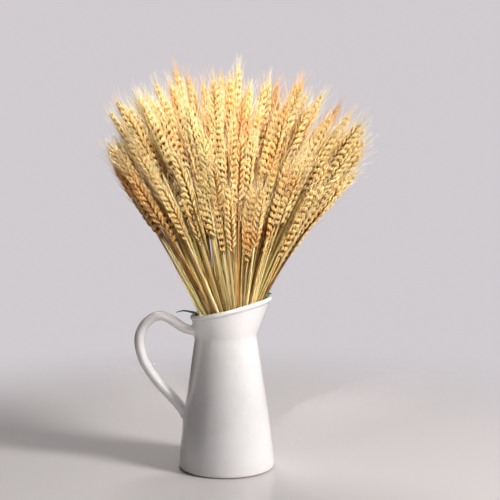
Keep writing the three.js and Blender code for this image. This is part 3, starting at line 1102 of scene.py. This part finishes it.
def makeStalks():
    kit = bpy.data.collections.new("spikeletKit")
    bpy.context.scene.collection.children.link(kit)
    for n in range(variants):
        kit.objects.link(bpy.data.objects.new("spikelet_%d" % n, makeSpikelet(n)))
    tree, skin = makeStalkTree(), makeStraw()
    common = {"Spikelet Kit": kit, "Material": skin}
    full = sheaf["count"]
    curves = [layStalk(i, reach(i), 1.0, tree, common) for i in range(full)]
    forward, aside = infill["frontSeats"]
    for name in ("low", "high", "front"):
        first, step, count, shortest, longest = infill[name]
        for n in range(count):
            i = first + step * n
            u, v = seat(i)
            if name == "front" and (u < forward or abs(v) > aside):
                continue
            far = min(shortest + (longest - shortest) * chance(i, "infillReach"), sheafTop(i))
            curves.append(layStalk(i, far, infill["thinner"], tree, common))
    graph = bpy.context.evaluated_depsgraph_get()
    meshes = [bpy.data.meshes.new_from_object(thing.evaluated_get(graph)) for thing in curves]
    for thing in curves + list(kit.objects):
        bpy.data.objects.remove(thing)
    bpy.data.collections.remove(kit)
    print("stalks:", len(meshes), "with", sum(len(m.loops) - 2 * len(m.polygons) for m in meshes), "triangles")
    for i in range(0, full, 2):
        number = "%02d" % (i // 2 + 1)
        stalk = objectFromMesh("stalk_" + number, meshes[i])
        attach(stalk, "root")
        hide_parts("wheat_" + number)
    loose = meshes[1:full:2] + meshes[full:]
    perBundle = infill["perBundle"]
    for n in range(0, len(loose), perBundle):
        mesh = mergeMeshes("stalks_between", loose[n : n + perBundle])
        mesh.materials.append(skin)
        bundle = objectFromMesh("stalks_between_%d" % (n // perBundle + 1), mesh)
        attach(bundle, "root")


def curledRing(middle, across, up, half, thickness, curl):
    # A leaf's thin section; curl says how far it bends up at x, from -1 to 1 across the leaf.
    sides = 12
    ring = []
    for j in range(sides):
        turn = 2 * math.pi * j / sides
        x = math.cos(turn)
        ring.append(middle + across * (half * x) + up * (thickness / 2 * math.sin(turn) + curl(x)))
    return ring


# ---- dry leaf blades that still cling to the stems ----
# Millimetres.
bladeSize = {
    "count": 26,
    "from": 4.25,  # first seat
    "step": 2,
    "lowest": 150,
    "length": (55, 125),
    "width": (4.0, 7.5),
    "leastHalf": 0.15,
    "thickness": 0.3,
    "rows": 26,
    "lift": 4,  # how far the tip may stand out
    "wave": 2.5,
    "curl": 0.75,
    "ripple": 0.12,
}
bladeLook = {
    "veins": [(0.3, (0.12, 0.05, 0.012)), (0.5, (0.42, 0.24, 0.07)), (0.7, (0.78, 0.56, 0.22))],
    "veinScale": (420, 420, 40),
    "veinHeight": 0.15 * mm,
    "brown": (0.26, 0.12, 0.035),
    "brownScale": 30.0,
    "roughness": 0.6,
}


def bladeRings(n):
    b = bladeSize
    i = b["from"] + b["step"] * n
    u, v = seat(i)

    def between(limits, salt):
        return limits[0] + (limits[1] - limits[0]) * chance(i, salt)

    length, width = between(b["length"], "bladeLength"), between(b["width"], "bladeWidth")
    spin = 2 * math.pi * chance(i, "bladeSpin")
    wave = b["wave"] * (chance(i, "bladeWave") - 0.5)
    rings = []
    for k in range(b["rows"] + 1):
        t = k / b["rows"]
        z = b["lowest"] + length * t
        middle = stalkPoint(u, v, z)
        ahead = (stalkPoint(u, v, z + 1) - middle).normalized()
        middle += Vector((middle.x, middle.y, 0)).normalized() * (b["lift"] * t * t * chance(i, "bladeLift"))
        across = Matrix.Rotation(spin + wave * t, 3, ahead) @ ahead.orthogonal().normalized()
        shape = (0.55 + 0.45 * math.sin(math.pi * min(1, t * 1.4))) * (1 - t**4)
        half = width / 2 * shape + b["leastHalf"]

        def curl(x):
            return half * (b["curl"] * x * x + b["ripple"] * math.sin(9 * t + 4 * x + n))

        ring = curledRing(middle, across, ahead.cross(across), half, b["thickness"], curl)
        rings.append([point * mm for point in ring])
    return rings


def makeBladeSkin():
    look = bladeLook
    paint = Paint("dry_blade")
    place = paint.place()
    stretched = paint.add("ShaderNodeMapping", Vector=place, Scale=look["veinScale"]).outputs[0]
    veins = paint.noise(stretched, 1.0)
    colour = paint.ramp(veins, look["veins"])
    patch = paint.noise(place, look["brownScale"], 2.0)
    colour = paint.mix(paint.spread(patch, 0.4, 0.65, 0.0, 0.7), colour, look["brown"])
    paint.surface("Base Color", colour)
    paint.surface("Roughness", look["roughness"])
    paint.surface("Normal", paint.bump(veins, look["veinHeight"], 0.8))
    return paint.material


def makeBlades():
    mesh = mergeMeshes("dry_blades", [meshFromRings("blade", bladeRings(n)) for n in range(bladeSize["count"])])
    faceOutwards(mesh)
    shadeSmooth(mesh)
    mesh.materials.append(makeBladeSkin())
    blades = objectFromMesh("dry_blades", mesh)
    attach(blades, "root")
    print("blades:", len(mesh.polygons), "faces")


# ---- dry leaf bits at the rim ----
# Millimetres.
leafBits = {
    "leaf_over_rim": {
        "route": [
            (-29.5, -3, 158.5), (-32.2, -3.3, 162.6), (-37.5, -4, 164.2), (-44.5, -5, 165.3), (-52, -6, 163.8),
        ],
        "width": 2.6,
        "across": (0, 0.6, 0.8),
        "colours": [(0.35, (0.02, 0.03, 0.018)), (0.55, (0.05, 0.075, 0.035)), (0.8, (0.2, 0.24, 0.1))],
    },
    "leaf_at_lip_1": {
        "route": [(37, -4, 175), (40.5, -5, 180), (44, -5.5, 183.4), (47.6, -6, 182.6)],
        "width": 4.6,
        "across": (-0.6, -0.35, 0.7),
        "colours": [(0.35, (0.10, 0.13, 0.05)), (0.5, (0.36, 0.42, 0.2)), (0.65, (0.62, 0.66, 0.44))],
    },
    "leaf_at_lip_2": {
        "route": [(37, 6, 174.5), (40.5, 6.5, 180), (43.5, 7, 184.5), (46.5, 7.5, 186.8)],
        "width": 4.2,
        "across": (-0.6, -0.35, 0.7),
        "colours": [(0.35, (0.07, 0.09, 0.05)), (0.5, (0.26, 0.32, 0.2)), (0.7, (0.5, 0.56, 0.42))],
    },
}
leafShape = {
    "fineness": 8,  # pieces between two points of the route
    "thickness": 0.28 * mm,
    "leastHalf": 0.05 * mm,
    "twist": 0.6,
    "curl": 0.35,
    "cloudScale": 260.0,
    "cloudHeight": 0.2 * mm,
    "roughness": (0.5, 0.8),
}


def makeLeafSkin(name, stops):
    paint = Paint(name)
    cloud = paint.noise(paint.place(), leafShape["cloudScale"])
    paint.surface("Base Color", paint.ramp(cloud, stops))
    paint.surface("Roughness", paint.spread(cloud, 0.2, 0.8, *leafShape["roughness"]))
    paint.surface("Normal", paint.bump(cloud, leafShape["cloudHeight"]))
    return paint.material


def makeLeaves():
    shape = leafShape
    for name, size in leafBits.items():
        line = smoothRoute([Vector(p) * mm for p in size["route"]], shape["fineness"])
        rings = []
        for n, point in enumerate(line):
            t = n / (len(line) - 1)
            ahead = (line[min(n + 1, len(line) - 1)] - line[max(n - 1, 0)]).normalized()
            across = Vector(size["across"])
            across = (across - ahead * across.dot(ahead)).normalized()
            across = Matrix.Rotation(shape["twist"] * (t - 0.5), 3, ahead) @ across
            wide = 0.3 + 1.4 * math.sqrt(t) * (1 - t) + 0.2 * (1 - t)
            half = size["width"] / 2 * mm * wide + shape["leastHalf"]

            def curl(x):
                return shape["curl"] * half * x * x

            rings.append(curledRing(point, across, ahead.cross(across), half, shape["thickness"], curl))
        mesh = meshFromRings(name, rings)
        faceOutwards(mesh)
        shadeSmooth(mesh)
        mesh.materials.append(makeLeafSkin(name + "_skin", size["colours"]))
        leaf = objectFromMesh(name + "_blade", mesh)
        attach(leaf, "root")
        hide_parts(name)


makeCamera()
makeStudio()
makeJug()
makeStalks()
makeBlades()
makeLeaves()
